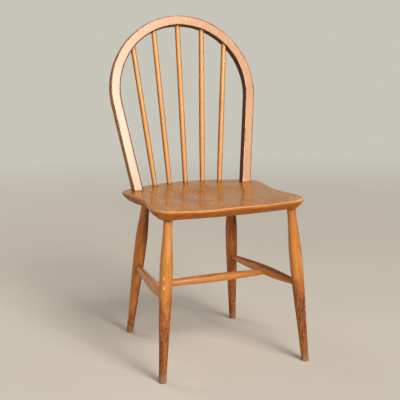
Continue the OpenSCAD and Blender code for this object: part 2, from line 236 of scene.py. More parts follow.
class Shader(Nodes):
    """A material with one Principled shader, and short calls for the patterns that feed it."""

    def __init__(self, name, coat=0.0, coat_rough=0.2, specular=0.5):
        self.material = bpy.data.materials.new(name)
        self.material.use_nodes = True
        super().__init__(self.material.node_tree)
        self.bsdf = self.node("BsdfPrincipled", {
            "Coat Weight": coat,
            "Coat Roughness": coat_rough,
            "Specular IOR Level": specular,
        })
        self.out = self.node("OutputMaterial", {"Surface": self.bsdf.outputs[0]})

    def set(self, socket, value):
        self.put(self.bsdf.inputs[socket], value)

    def attribute(self, name):
        return self.node("Attribute", {}, attribute_name=name).outputs["Vector"]

    def parts(self, vector):
        return self.node("SeparateXYZ", {0: vector}).outputs

    def noise(self, vector, scale, detail, rough=0.5, warp=0.0):
        """Noise from 0 to 1 about 0.5. scale: features per metre along each axis."""
        stretched = self.node("VectorMath", {0: vector, 1: scale}, operation="MULTIPLY").outputs[0]
        inputs = {"Vector": stretched, "Scale": 1, "Detail": detail, "Roughness": rough, "Distortion": warp}
        return self.node("TexNoise", inputs).outputs["Fac"]

    def swing(self, value, amount, middle=0.5):
        """How far a value lies from its middle, times amount."""
        return self.times(self.math("SUBTRACT", value, middle), amount)

    def ramp(self, value, low, high, to_low=0.0, to_high=1.0):
        inputs = {"Value": value, "From Min": low, "From Max": high, "To Min": to_low, "To Max": to_high}
        return self.node("MapRange", inputs, interpolation_type="SMOOTHSTEP").outputs[0]

    def blend(self, share, a, b, kind="MIX"):
        """Colour a where share is 0, and b where it is 1."""
        return self.node("Mix", {0: share, 6: a, 7: b}, data_type="RGBA", blend_type=kind).outputs[2]


# the dark brown of grime, and of painted shade
GRIME_AND_SHADE = linear(52, 28, 12)
FLECK = (0.30, 0.22, 0.15, 1)  # multiplies the wood's colour

# Features per metre of each pattern, along two ways across the fibres and then along them.
WAVER = (18, 18, 3.2)
STREAK = (150, 150, 2.6)
FIBRE = (900, 900, 14)
SPECK = (1300, 1300, 170)
PORE = (1100, 1100, 60)
BRUSHED = (26, 26, 9)
FLAW = (75, 75, 22)
MOTTLE = (340, 340, 56)
CLOUD = (90, 90, 16)
SCUFF = (640, 640, 120)
CHIP_EDGE = (300, 300, 90)
SMEAR = (48, 48, 20)
RIPPLE = (240, 240, 120)
BUMP_DEPTH = 0.35 * MM


def worn_wood(name, tones, ring, fibre, brown, raw, edge, rough, gloss, flecks=0.5, bump=0.35):
    """Varnished wood: growth rings, fibres, flecks, pores, an uneven amber film, its wear, and painted
    shade and highlights.

    tones: pale, middle and deep varnished wood. ring: (spacing in metres, contrast).
    fibre: contrast of the streaks. brown: the red-brown film, and the dark mottles in it; they are a stain,
    and also the painted shade of the rear legs, the legs' right sides, the sticks' sides and the hoop's
    side faces.
    raw: wood that is chipped bare, rubbed thin, and weathered; the rubbed-thin colour also paints
    highlights.
    edge: end grain under varnish.
    rough: (least, spread). gloss: (coat, its roughness, specular level), where the coat fades out
    on wood that is bare, browned, dirty, in painted shade, or end grain. flecks and bump: how strong they
    are.
    """
    pale, middle, deep = (linear(*c) for c in tones)
    tint, dark_tint = (linear(*c) for c in brown)
    raw_wood, thin_wood_and_highlight, weathered = (linear(*c) for c in raw)
    spacing, contrast = ring
    coat = gloss[0]
    s = Shader(name, *gloss)
    grain = s.attribute("grain")
    gx, gy, gz = s.parts(grain)
    chips, browned, paled = s.parts(s.attribute("wear"))
    grime_and_shade, bare, end = s.parts(s.attribute("dirt_and_shade"))

    # Growth rings: distance from a far pith, gently wavering along the fibres.
    waver = s.noise(grain, WAVER, 3, 0.55)
    across = s.node("CombineXYZ", {0: gx, 1: gy}).outputs[0]
    away = s.node("VectorMath", {0: across}, operation="LENGTH").outputs["Value"]
    away = s.plus(away, s.times(waver, spacing * 5), s.times(gz, 0.02))
    phase = s.math("FRACT", s.math("DIVIDE", away, spacing), 0)
    late = s.math("SUBTRACT", s.ramp(phase, 0.25, 0.95), s.ramp(phase, 0.95, 1.0))

    # Wood tone: rings, streaks and fibres, under an uneven film of varnish, with dark flecks.
    fine = s.noise(grain, FIBRE, 4, 0.6)
    streak = s.noise(grain, STREAK, 4, 0.6)
    wash = s.noise(grain, BRUSHED, 3, 0.55)
    tone = s.plus(
        0.5,
        s.swing(late, -contrast, 0.4),
        s.swing(streak, fibre * 2.4),
        s.swing(fine, fibre * 1.6),
        s.swing(wash, 1.1),
    )
    colour = s.blend(s.ramp(tone, 0.5, -0.05), middle, deep)
    colour = s.blend(s.ramp(tone, 0.5, 1.05), colour, pale)
    fleck = s.times(s.ramp(s.noise(grain, SPECK, 2), 0.64, 0.72), flecks)
    colour = s.blend(fleck, colour, FLECK, "MULTIPLY")

    # End grain drinks the varnish: deeper, with open pores.
    pores = s.ramp(s.noise(grain, PORE, 2), 0.45, 0.62)
    drunk = s.times(end, s.plus(0.62, s.times(pores, 0.3)))
    colour = s.blend(drunk, colour, s.blend(pores, linear(*edge), dark_tint))

    # Rubbed thin, and painted highlights: the wood shows paler through the film where it is worn and where
    # a highlight is painted.
    flaw = s.noise(grain, FLAW, 4, 0.62)
    paling = s.ramp(s.plus(paled, s.swing(flaw, 1.1)), 0.35, 0.85)
    colour = s.blend(s.times(paling, 0.75), colour, thin_wood_and_highlight)

    # A red-brown film, which is stain and also painted shade, then dark mottles in it drawn out along the
    # fibres, then small pale scuffs.
    mottle = s.math("SUBTRACT", s.noise(grain, MOTTLE, 6, 0.74, 0.3), 0.5)
    patchy = s.math("SUBTRACT", s.noise(grain, CLOUD, 4, 0.65), 0.5)
    browned_here = s.ramp(browned, 0.0, 0.12)
    wash_field = s.plus(browned, s.times(patchy, 1.3), s.times(mottle, 0.8))
    tinted = s.times(s.ramp(wash_field, 0.15, 0.8), browned_here)
    colour = s.blend(s.times(tinted, 0.85), colour, tint)
    dark_field = s.plus(browned, s.times(mottle, 3.0), s.times(patchy, 1.7))
    dark = s.times(s.ramp(dark_field, 0.42, 1.30), browned_here)
    colour = s.blend(s.times(dark, 0.88), colour, dark_tint)
    scuff_field = s.plus(s.times(browned, 0.30), s.noise(grain, SCUFF, 3, 0.6, 0.3))
    scuff = s.times(s.ramp(scuff_field, 0.79, 0.90), s.ramp(browned, 1.2, 1.0))
    colour = s.blend(s.times(scuff, 0.5), colour, thin_wood_and_highlight)

    # Chips through the film to raw wood, each with a thin dark lip.
    chip_field = s.plus(chips, s.swing(s.noise(grain, CHIP_EDGE, 3, 0.6), 0.9))
    lip = s.ramp(chip_field, 0.42, 0.5)
    chip = s.ramp(chip_field, 0.52, 0.58)
    colour = s.blend(s.times(lip, 0.5), colour, dark_tint)
    colour = s.blend(chip, colour, raw_wood)

    # Grime and painted shade darken towards one dark brown; bare, greyed wood at the floor.
    darkening = s.ramp(s.plus(grime_and_shade, s.swing(flaw, 0.7)), 0.3, 1.0)
    colour = s.blend(s.times(darkening, 0.8), colour, GRIME_AND_SHADE)
    bare_part = s.ramp(s.plus(bare, s.times(mottle, 1.5)), 0.3, 0.75)
    grey = s.blend(s.times(s.ramp(fine, 0.45, 0.75), 0.7), weathered, GRIME_AND_SHADE)
    colour = s.blend(s.times(bare_part, 0.85), colour, grey)
    s.set("Base Color", colour)

    # Worn, dirty and bare wood, and wood in painted shade, is dull, and its coat of varnish is gone.
    dull = s.most(chip, bare_part, s.times(s.plus(dark, darkening), 0.55))
    dull = s.most(dull, s.most(s.times(end, 0.75), s.times(tinted, 0.8)))
    if coat:
        s.set("Coat Weight", s.ramp(dull, 0.15, 0.7, coat, 0.0))
    least, spread = rough
    shine = s.plus(least, s.times(s.noise(grain, SMEAR, 4, 0.6), spread), s.times(paling, 0.1))
    s.set("Roughness", s.most(shine, s.times(dull, 0.78)))

    height = s.plus(
        s.times(fine, 0.20),
        s.times(late, -0.12),
        s.times(s.noise(grain, RIPPLE, 2), 0.30),
        s.times(wash, 1.1),
        s.times(chip, -1.6),
        s.times(dark, -0.35),
        s.times(fleck, -0.3),
        s.times(scuff, -0.3),
    )
    s.set("Normal", s.node("Bump", {"Strength": bump, "Distance": BUMP_DEPTH, "Height": height}).outputs[0])
    return s.material


turned = worn_wood(
    "turned_beech",
    tones=((224, 156, 76), (207, 130, 52), (173, 94, 29)),
    ring=(0.0030, 0.34), fibre=0.55,
    # brown: a stain low on the legs, and also the colours of painted shade on the rear legs and the legs'
    # right sides
    brown=((172, 90, 38), (84, 38, 18)),
    raw=((243, 205, 150), (226, 160, 96), (160, 130, 98)), edge=(160, 84, 28),
    rough=(0.27, 0.20), gloss=(0.22, 0.2, 0.3),
)
stick = worn_wood(
    "stick_beech",
    tones=((236, 176, 98), (222, 152, 74), (192, 116, 44)),
    ring=(0.0026, 0.28), fibre=0.45,
    # brown and raw: also the colours of painted shade at the sticks' sides and of the painted highlight
    # down their fronts
    brown=((186, 112, 52), (112, 56, 22)),
    raw=((246, 212, 160), (240, 184, 118), (190, 150, 105)), edge=(176, 104, 44),
    rough=(0.25, 0.16), gloss=(0.4, 0.18, 0.35), flecks=0.2, bump=0.12,
)
bent = worn_wood(
    "bent_beech",
    tones=((218, 171, 126), (208, 156, 110), (188, 131, 84)),
    ring=(0.0042, 0.14), fibre=0.26,
    # brown: also the colours of painted shade on the hoop's inner and outer faces; raw: also of the painted
    # sheen on its front face
    brown=((182, 108, 50), (60, 31, 11)),
    raw=((248, 216, 172), (240, 196, 150), (200, 160, 118)), edge=(170, 110, 60),
    rough=(0.33, 0.08), gloss=(1.0, 0.24, 0.2), flecks=0.15, bump=0.03,
)
plank = worn_wood(
    "seat_plank",
    tones=((209, 141, 46), (184, 110, 22), (139, 75, 9)),
    ring=(0.0055, 0.30), fibre=0.6,
    # raw: the rubbed-thin colour is also that of the painted highlight along the rim
    brown=((186, 100, 24), (96, 46, 14)),
    raw=((240, 200, 148), (240, 186, 128), (178, 140, 100)), edge=(220, 118, 10),
    rough=(0.30, 0.18), gloss=(0.34, 0.10, 0.22), flecks=0.6, bump=0.25,
)
wedge = worn_wood(
    "wedge_end_grain",
    tones=((176, 112, 60), (150, 88, 44), (108, 60, 28)),
    ring=(0.0016, 0.5), fibre=0.6,
    brown=((120, 66, 30), (70, 38, 16)),
    raw=((214, 164, 108), (196, 140, 84), (160, 120, 80)), edge=(120, 68, 32),
    rough=(0.34, 0.2), gloss=(0.0, 0.2, 0.4),
)


# ---- Turned pieces ----

SAME_LEVEL = 1e-5  # points this near in height lie on one level face
END_SLICE = 0.0004  # points this near a square end belong to it
RING_SLICE = 0.0001  # points this near along the axis belong to one ring
FULL_RING = 20  # points in a ring that goes all the way round, at least
BREAK_STEPS = 4

# Spacing of rings, length over which the profile is eased, and points round a ring.
TURNED_STEP, TURNED_EASE = 0.0025, 0.006
STICK_STEP, STICK_EASE = 0.0030, 0.008
LEG_SIDES, STRETCHER_SIDES, STICK_SIDES = 48, 40, 32

# How much of each end's sharp arris is rounded off.
FOOT_ARRIS, LEG_TOP_ARRIS = 0.0011, 0.0004
STRETCHER_ARRIS, STICK_ARRIS = 0.0006, 0.0005


def node_points(name):
    co = np.array([v.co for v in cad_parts[name].data.vertices], float)
    return np.unique(np.round(co, 6), axis=0)


def box_middle(points):
    return (points.min(0) + points.max(0)) / 2


def level_axis(points):
    """The two ends of a leg's axis, where the leg is cut off level."""
    z = points[:, 2]
    return box_middle(points[z < z.min() + SAME_LEVEL]), box_middle(points[z > z.max() - SAME_LEVEL])


def square_axis(points):
    """The two ends of the axis of a piece cut off square, the lower or more leftward end first."""
    d = np.linalg.svd(points - points.mean(0), full_matrices=False)[2][0]
    for _ in range(3):
        t = points @ d
        a = box_middle(points[t < t.min() + END_SLICE])
        b = box_middle(points[t > t.max() - END_SLICE])
        d = unit(b - a)
    upright = abs(d[2]) >= 0.5
    a_is_first = a[2] < b[2] if upright else a[2] + a[0] < b[2] + b[0]
    return (a, b) if a_is_first else (b, a)


def radii(points, a, b):
    """Distance along the axis and radius of each full ring of a turned node's mesh."""
    d = unit(b - a)
    t = (points - a) @ d
    r = np.linalg.norm(points - a - np.outer(t, d), axis=1)
    key = np.round(t / RING_SLICE).astype(int)
    rings = [key == k for k in np.unique(key)]
    return np.array([(t[ring].mean(), r[ring].max()) for ring in rings if ring.sum() >= FULL_RING])


def eased_profile(rows, length, step, ease_length):
    """The radii, evenly spaced and eased where the CAD's short cones meet."""
    t = np.linspace(0, length, int(round(length / step)) + 1)
    r = np.interp(t, rows[:, 0], rows[:, 1])
    width = max(1, int(round(ease_length / step)))
    kernel = np.exp(-np.linspace(-2, 2, 2 * width + 1) ** 2)
    return t, np.convolve(np.pad(r, width, mode="edge"), kernel / kernel.sum(), mode="valid")


def broken_ends(t, r, first, last):
    """Rounds off the arrises of a profile's ends, by that many metres each."""
    rows = list(zip(t, r))
    bend = np.linspace(0, math.pi / 2, BREAK_STEPS + 1)
    if first:
        edge = [(t[0] + first * (1 - np.sin(b)), r[0] - first * (1 - np.cos(b))) for b in bend[::-1]]
        rows = edge + [row for row in rows if row[0] > t[0] + first]
    if last:
        edge = [(t[-1] - last * (1 - np.sin(b)), r[-1] - last * (1 - np.cos(b))) for b in bend]
        rows = [row for row in rows if row[0] < t[-1] - last] + edge
    return np.array(rows).T


def turned_profile(name, a, b, step, ease_length, first, last):
    """A turned node's length from a to b, and its eased profile with broken arrises."""
    span = np.linalg.norm(b - a)
    t, r = eased_profile(radii(node_points(name), a, b), span, step, ease_length)
    return span, *broken_ends(t, r, first, last)


def cross_axes(d):
    """Two directions square to an axis and to each other."""
    u = unit(np.cross(d, (0.0, 1.0, 0.0) if abs(d[1]) < 0.9 else (1.0, 0.0, 0.0)))
    return u, np.cross(d, u)


def blob(points, centre, size):
    """A round patch of wear, 1 at its middle."""
    return np.exp(-(np.linalg.norm((points - centre) / size, axis=-1) ** 2))


def band(x, middle, half_width):
    """A soft band of wear, 1 at its middle."""
    return np.exp(-(((x - middle) / half_width) ** 2))


def strongest(points, spots):
    """The strongest at each point of blobs of wear, given as (place, size, strength)."""
    field = np.zeros(points.shape[:2])
    for place, size, strength in spots:
        field = np.maximum(field, strength * blob(points, np.array(place), size))
    return field


def lathe(patch, a, b, t, r, around, pith, marks, level=None):
    """Adds a turned skin. level: the heights at which a leg is cut off. marks: gives wear and painted
    light, and dirt and shade.
    """
    d = unit(b - a)
    u, v = cross_axes(d)
    angle = np.arange(around) * 2 * math.pi / around
    turn = np.cos(angle)[:, None] * u + np.sin(angle)[:, None] * v
    along = np.repeat(t[:, None], around, axis=1)
    wide = np.repeat(r[:, None], around, axis=1)
    if level:
        heights = level[0] + (level[1] - level[0]) * (t - t[0]) / (t[-1] - t[0])
        for _ in range(3):
            along = (heights[:, None] - a[2] - wide * turn[:, 2]) / d[2]
            wide = np.interp(along, t, r)
    rings = a + along[..., None] * d + wide[..., None] * turn
    grain = stacked(wide * np.cos(angle) + pith[0], wide * np.sin(angle) + pith[1], along + pith[2])
    patch.add(rings, grain, *marks(rings, along))


PITH_NEAR, PITH_FAR = 0.03, 0.08  # the stock was cut this far from the tree's pith
STOCK_RUN = 20  # pieces come from anywhere along this many metres of stock


def pith_for():
    """Where this piece's pith lies from its axis, and how far along its stock the piece was cut."""
    turn, far = rng.uniform(0, 2 * math.pi), rng.uniform(PITH_NEAR, PITH_FAR)
    return far * math.cos(turn), far * math.sin(turn), rng.uniform(0, STOCK_RUN)


# The wear, and the painted shade and highlight, of each leg. Azimuths are in degrees round the leg from the
# front towards the right, and heights and sizes in metres.
# brown: strength of the red-brown stain low on the leg. stain_top: the height where it starts.
# wash: how brown each leg is all over, on its left and on its right side: partly the varnish's own brown,
# partly painted shade, darker on the right side and much darker on the rear legs, under the seat.
# painted_shade: painted shade on the upper leg, under the seat, except on its left side.
# chips, rubs_and_highlights: (azimuth, height, size across, size along, strength).
LEG_WEAR = {
    "leg_front_left": {
        "brown": 0.82, "stain_top": 0.305, "wash": (0.10, 0.30), "painted_shade": 0.0,
        "chips": [
            (-38, 0.263, 0.0018, 0.005, 1.0), (-34, 0.240, 0.0020, 0.008, 1.0),
            (-50, 0.226, 0.0015, 0.004, 0.7), (-30, 0.118, 0.0013, 0.003, 0.7),
            (20, 0.085, 0.0013, 0.004, 0.7), (120, 0.15, 0.004, 0.006, 0.8),
        ],
        "rubs_and_highlights": [
            # the rub high on the front, at 0.36, is a painted highlight on the leg's top
            (-5, 0.09, 0.006, 0.05, 0.75), (-60, 0.20, 0.006, 0.03, 0.5), (-12, 0.36, 0.012, 0.06, 0.7),
        ],
    },
    "leg_front_right": {
        "brown": 0.95, "stain_top": 0.315, "wash": (0.20, 0.55), "painted_shade": 0.0,
        "chips": [
            (12, 0.335, 0.002, 0.003, 0.6), (-60, 0.285, 0.002, 0.012, 0.6),
            (-10, 0.07, 0.0013, 0.004, 0.8), (60, 0.19, 0.003, 0.004, 0.8),
        ],
        "rubs_and_highlights": [(-35, 0.185, 0.006, 0.03, 0.8), (-20, 0.10, 0.005, 0.03, 0.6)],
    },
    "leg_rear_left": {
        # the heavy wash and painted_shade here are painted shade under the seat
        "brown": 0.6, "stain_top": 0.20, "wash": (0.34, 0.95), "painted_shade": 0.82,
        "chips": [(-100, 0.11, 0.003, 0.005, 0.7), (150, 0.07, 0.003, 0.006, 0.8)],
        "rubs_and_highlights": [(-90, 0.13, 0.006, 0.04, 0.6), (170, 0.20, 0.006, 0.04, 0.5)],
    },
    "leg_rear_right": {
        # the heavy wash and painted_shade here are painted shade under the seat
        "brown": 0.7, "stain_top": 0.24, "wash": (0.58, 1.05), "painted_shade": 0.80,
        "chips": [(30, 0.05, 0.003, 0.004, 0.8), (160, 0.10, 0.003, 0.006, 0.8)],
        "rubs_and_highlights": [(-20, 0.06, 0.005, 0.03, 0.5), (140, 0.18, 0.006, 0.04, 0.5)],
    },
}
SPOT_FALL = 0.7  # how fast a chip or rub fades past its size
STAIN_FADE = 0.175  # the stain reaches its full strength this far below its top
# heights between which the painted shade of the upper leg sets in
SHADE_FROM, SHADE_FULL = 0.18, 0.34
FOOT_FROM, FOOT_FULL = 0.036, 0.012  # heights between which the foot goes bare
SOLE_FROM, SOLE_FULL = 0.006, 0.001  # and goes barer still
FOOT_BARE, SOLE_BARE = 0.62, 0.4
FLOOR_CLEAR = 0.02 * MM  # keeps the feet inside the CAD's box
LEG_R_AT_JOINT = 0.0152
JOINT_GRIME, JOINT_GRIME_SIZE = 0.9, 0.0105
SEAT_SHADE, SEAT_SHADE_DEPTH = 0.75, 0.012  # painted shade on a leg, just under the seat
TENON_FROM, TENON_FULL = 0.0008, 0.0002  # depths in the seat between which a tenon turns to end grain
TENON_RUB, TENON_END = 0.75, 0.5


def spot_fields(rings, axis_at, spots):
    """The strongest of the spots at each point of a leg, each an ellipse on its side."""
    field = np.zeros(rings.shape[:2])
    side = rings - axis_at(rings[..., 2])
    azimuth = np.arctan2(side[..., 0], -side[..., 1])
    radius = np.linalg.norm(side[..., :2], axis=-1)
    for turn, height, across, tall, strength in spots:
        swing = (azimuth - math.radians(turn) + math.pi) % (2 * math.pi) - math.pi
        away = (swing * radius / across) ** 2 + ((rings[..., 2] - height) / tall) ** 2
        field = np.maximum(field, strength * np.exp(-away * SPOT_FALL))
    return field


def stretcher_joint(leg, low, high):
    """The point on a leg's skin where its stretcher enters it."""
    a, b = square_axis(node_points("side_stretcher_" + leg.rsplit("_", 1)[1]))
    front, rear = (a, b) if a[1] < b[1] else (b, a)
    here, there = (front, rear) if "front" in leg else (rear, front)
    on_axis = low + (high - low) * (here[2] - low[2]) / (high[2] - low[2])
    return on_axis + unit(there - here) * LEG_R_AT_JOINT


def make_leg(name):
    low, high = level_axis(node_points(name))
    _, t, r = turned_profile(name, low, high, TURNED_STEP, TURNED_EASE, FOOT_ARRIS, LEG_TOP_ARRIS)
    facts = LEG_WEAR[name]
    joint = stretcher_joint(name, low, high)

    def axis_at(z):
        share = (z - low[2]) / (high[2] - low[2])
        return low + share[..., None] * (high - low)

    def marks(rings, along):
        z = rings[..., 2]
        aside = rings - axis_at(z)
        rightward = aside[..., 0] / np.linalg.norm(aside, axis=-1)
        chips = spot_fields(rings, axis_at, facts["chips"])
        rubs_and_highlights = spot_fields(rings, axis_at, facts["rubs_and_highlights"])
        wash_left, wash_right = facts["wash"]
        # browner on the right side: painted shade, partly the varnish's own brown
        wash = wash_left + (wash_right - wash_left) * smooth(-0.1, 0.9, rightward)
        browned = facts["brown"] * smooth(facts["stain_top"], facts["stain_top"] - STAIN_FADE, z)
        in_seat = smooth(SEAT_UNDER - MM, SEAT_UNDER + MM, z)
        end = smooth(SEAT_TOP - TENON_FROM, SEAT_TOP - TENON_FULL, z)
        # painted shade just under the seat
        grime_and_shade = SEAT_SHADE * smooth(SEAT_UNDER - SEAT_SHADE_DEPTH, SEAT_UNDER, z)
        grime_and_shade = grime_and_shade + JOINT_GRIME * blob(rings, joint, JOINT_GRIME_SIZE)
        # painted shade on the upper leg, except on its left side
        grime_and_shade = grime_and_shade + facts["painted_shade"] * smooth(SHADE_FROM, SHADE_FULL, z) * smooth(-0.8, 0.1, rightward)
        bare = FOOT_BARE * smooth(FOOT_FROM, FOOT_FULL, z) + SOLE_BARE * smooth(SOLE_FROM, SOLE_FULL, z)
        wear = stacked(chips, np.maximum(browned, wash) * (1 - in_seat), rubs_and_highlights + TENON_RUB * end)
        return wear, stacked(grime_and_shade * (1 - end), bare, TENON_END * end)

    patch = Patch()
    lathe(patch, low, high, t, r, LEG_SIDES, pith_for(), marks, level=(FLOOR_CLEAR, SEAT_TOP + PROUD))
    patch.build(name.replace("leg", "turned_leg"), [name], turned)


# Grime where a turned piece enters its neighbour: how far from its end, how wide and how strong.
ENTRY, ENTRY_WIDTH, ENTRY_GRIME = 0.017, 0.007, 0.6
STRETCHER_RUB = 0.20

# Each stretcher's brown film along its top, and its one chip: (place, size, strength).
STRETCHER_WEAR = {
    "side_stretcher_left": (0.36, ((-0.176, -0.06, 0.212), (0.004, 0.008, 0.004), 0.7)),
    "side_stretcher_right": (0.85, ((0.168, 0.02, 0.212), (0.004, 0.006, 0.004), 0.6)),
    "cross_stretcher": (0.36, ((-0.09, -0.04, 0.212), (0.007, 0.003, 0.003), 0.6)),
}


def make_stretcher(name):
    wash, chip = STRETCHER_WEAR[name]
    a, b = square_axis(node_points(name))
    span, t, r = turned_profile(name, a, b, TURNED_STEP, TURNED_EASE, STRETCHER_ARRIS, STRETCHER_ARRIS)

    def marks(rings, along):
        share = along / span
        near_end = band(along, ENTRY, ENTRY_WIDTH) + band(along, span - ENTRY, ENTRY_WIDTH)
        top = smooth(0.2, 0.9, (rings[..., 2] - (a[2] + (b[2] - a[2]) * share)) / r.max())
        paling = STRETCHER_RUB * top * np.sin(math.pi * share) ** 2
        return stacked(strongest(rings, [chip]), wash * top, paling), stacked(ENTRY_GRIME * near_end, 0, 0)

    patch = Patch()
    lathe(patch, a, b, t, r, STRETCHER_SIDES, pith_for(), marks)
    patch.build(name.replace("stretcher", "turned_stretcher"), [name], turned)


# A spindle's wear and painted light: paler down its front, which faces a little left, partly rubbed and
# partly a painted highlight; browner at its sides, partly stained and partly painted shade.
STICK_FRONT = -0.15
STICK_RUB, FRONT_RUB_AND_HIGHLIGHT, SIDE_RUB_AND_SHADE = 0.35, 0.62, -0.3
RUB_WAVES = (31, 13)  # waves in the rub along the stick, in radians per metre
WAVE_RUB = 0.2
SIDE_BROWN_AND_SHADE = 0.8
LOW_FILM, LOW_FILM_HEIGHT = 0.12, 0.08
STICK_FOOT_WIDTH, STICK_TOP_WIDTH = 0.007, 0.006
STICK_FOOT_GRIME, STICK_TOP_GRIME = 0.75, 0.6


def make_spindle(name):
    a, b = square_axis(node_points(name))
    span, t, r = turned_profile(name, a, b, STICK_STEP, STICK_EASE, STICK_ARRIS, STICK_ARRIS)
    wander = rng.uniform(0, 2 * math.pi, 2)

    def marks(rings, along):
        z = rings[..., 2]
        aside = rings - (a + (along / span)[..., None] * (b - a))
        azimuth = np.abs(np.arctan2(aside[..., 0], -aside[..., 1]) - STICK_FRONT)
        waves = np.sin(along * RUB_WAVES[0] + wander[0]) * np.sin(along * RUB_WAVES[1] + wander[1])
        paling = STICK_RUB + WAVE_RUB * waves
        # painted highlight down the front and painted shade at the sides, each partly rub
        paling = paling + FRONT_RUB_AND_HIGHLIGHT * smooth(0.7, 0.2, azimuth) + SIDE_RUB_AND_SHADE * smooth(0.6, 1.0, azimuth)
        # browner sides: partly browning, partly painted shade
        side_brown_and_shade = SIDE_BROWN_AND_SHADE * smooth(0.45, 1.0, azimuth)
        low_film = LOW_FILM * smooth(SEAT_TOP + LOW_FILM_HEIGHT, SEAT_TOP, z)
        grime_and_shade = STICK_FOOT_GRIME * band(z, SEAT_TOP + MM, STICK_FOOT_WIDTH)
        grime_and_shade = grime_and_shade + STICK_TOP_GRIME * band(along, span - ENTRY, STICK_TOP_WIDTH)
        return stacked(0, np.maximum(side_brown_and_shade, low_film), paling), stacked(grime_and_shade, 0, 0)

    patch = Patch()
    lathe(patch, a, b, t, r, STICK_SIDES, pith_for(), marks)
    patch.build(name.replace("spindle", "turned_spindle"), [name], stick)


SPINDLES = [f"spindle_{number}" for number in range(1, 6)]
for leg_name in LEG_WEAR:
    make_leg(leg_name)
for stretcher_name in STRETCHER_WEAR:
    make_stretcher(stretcher_name)
for spindle_name in SPINDLES:
    make_spindle(spindle_name)


# ---- Hoop ----

REAR_HALF = 198 * MM
HOOP_W, HOOP_D, HOOP_ROUND = 27 * MM, 23 * MM, 3.5 * MM
HOOP_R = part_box("hoop")[1].x - HOOP_W / 2
HOOP_RISE = 262.5 * MM
HOOP_LEAN = math.radians(12.5)
FOOT_INSET_X, FOOT_INSET_Y = 42 * MM, 98.5 * MM
HOOP_FOOT_WISH = REAR_HALF - FOOT_INSET_X
HOOP_FRONT_Y = SHIFT + SEAT_DEPTH / 2 - FOOT_INSET_Y
HOOP_TENON_R = 9 * MM
HOOP_REACH = math.hypot(HOOP_FOOT_WISH, HOOP_RISE)
# The angle by which the legs draw in, in whole tenths of a degree.
HOOP_DRAW = math.radians(
    round(10 * math.degrees(math.atan2(HOOP_RISE, HOOP_FOOT_WISH) - math.acos(HOOP_R / HOOP_REACH))) / 10)
HOOP_LEG = (HOOP_RISE - HOOP_R * math.sin(HOOP_DRAW)) / math.cos(HOOP_DRAW)

ARC_RINGS, LEG_RINGS, TENON_RINGS = 220, 79, 14
TENON_SIDES = 40
CORNER_POINTS = 7
FLAT_POINTS = ((0.12, 0.35), (0.3, 0.0), (0.5, 0.0), (0.7, 0.0), (0.88, 0.35))  # (place, how near an arris)
SUNK = 0.3 * MM  # the legs' skin goes this far into the seat
TENON_RISE = 0.004  # and the tenon starts this far up inside them
TENON_ARRIS = 0.0004
HOOP_PITH = (0.045, 0.03, 3.3)

FRONT_FADE = (0.006, 0.001)  # depths between which the wear and painted sheen of the front face set in
SIDE_FADE = (0.0095, 0.0132)  # distances from the middle where the painted shade of the side faces does
ARRIS_BACK, ARRIS_FRONT = 0.35, 0.65  # arrises are browner in front
# painted shade: the inner face dark brown, the outer face browner; and browner arrises
INNER_SHADE_TINT, OUTER_SHADE_TINT, ARRIS_FILM = 2.4, 0.72, 0.36
# the front face paler: partly worn, partly a painted sheen
FRONT_WEAR_AND_SHEEN = 0.30
# the inner face darker still: painted shade; grime round the stick holes and at the feet
INNER_SHADE_DARK, HOLE_GRIME, FOOT_GRIME = 0.35, 0.4, 0.12
HOLE_GRIME_SIZE, FOOT_GRIME_RISE = 0.017, 0.012


def hoop_place(x, n, v):
    """A point of the hoop: x across, n back from its front face, v up its lean."""
    y = HOOP_FRONT_Y + v * math.sin(HOOP_LEAN) + n * math.cos(HOOP_LEAN)
    z = SEAT_TOP + v * math.cos(HOOP_LEAN) - n * math.sin(HOOP_LEAN)
    return stacked(x, y, z)


def hoop_section():
    """The section's outline as (outward, back) from its middle, and how near each point is to an arris."""
    flat_w, flat_d = HOOP_W / 2 - SKIN - HOOP_ROUND, HOOP_D / 2 - SKIN - HOOP_ROUND
    corners = ((1, 1), (-1, 1), (-1, -1), (1, -1))

    def on_corner(index, degrees):
        cx, cy = corners[index % 4]
        a = math.radians(degrees)
        return np.array((cx * flat_w + HOOP_ROUND * math.cos(a), cy * flat_d + HOOP_ROUND * math.sin(a)))

    points = []
    for index in range(4):
        start = 90 * index
        points += [(*on_corner(index, start + turn), 1.0) for turn in np.linspace(0, 90, CORNER_POINTS)]
        near, far = on_corner(index, start + 90), on_corner(index + 1, start + 90)
        points += [(*(near + (far - near) * share), arris) for share, arris in FLAT_POINTS]
    return np.array(points)


def hoop_rings(out, deep):
    """The hoop's rings from its left foot round to its right, and the length of rod up to each."""
    sweep = math.pi + 2 * HOOP_DRAW
    radius = HOOP_R + out
    arc = []
    for k in range(ARC_RINGS + 1):
        a = math.pi + HOOP_DRAW - sweep * k / ARC_RINGS
        arc.append(hoop_place(radius * math.cos(a), deep, HOOP_RISE + radius * math.sin(a)))

    def straight(start, side):
        """Rings down a straight leg, from the end of the arc to a level cut just in the seat."""
        down = hoop_place(-side * math.sin(HOOP_DRAW), 0, -math.cos(HOOP_DRAW)) - hoop_place(0, 0, 0)
        gone = (SEAT_TOP - SUNK - start[:, 2]) / down[2]
        foot = start + gone[:, None] * down
        return [start + (foot - start) * share for share in np.linspace(0, 1, LEG_RINGS + 1)[1:]]

    left, right = straight(arc[0], -1), straight(arc[-1], 1)
    run = HOOP_LEG / LEG_RINGS * np.arange(1, LEG_RINGS + 1)
    bend = HOOP_R * sweep * np.arange(ARC_RINGS + 1) / ARC_RINGS
    lengths = np.concatenate(((HOOP_LEG - run)[::-1], HOOP_LEG + bend, HOOP_LEG + HOOP_R * sweep + run))
    return np.array(left[::-1] + arc + right), lengths


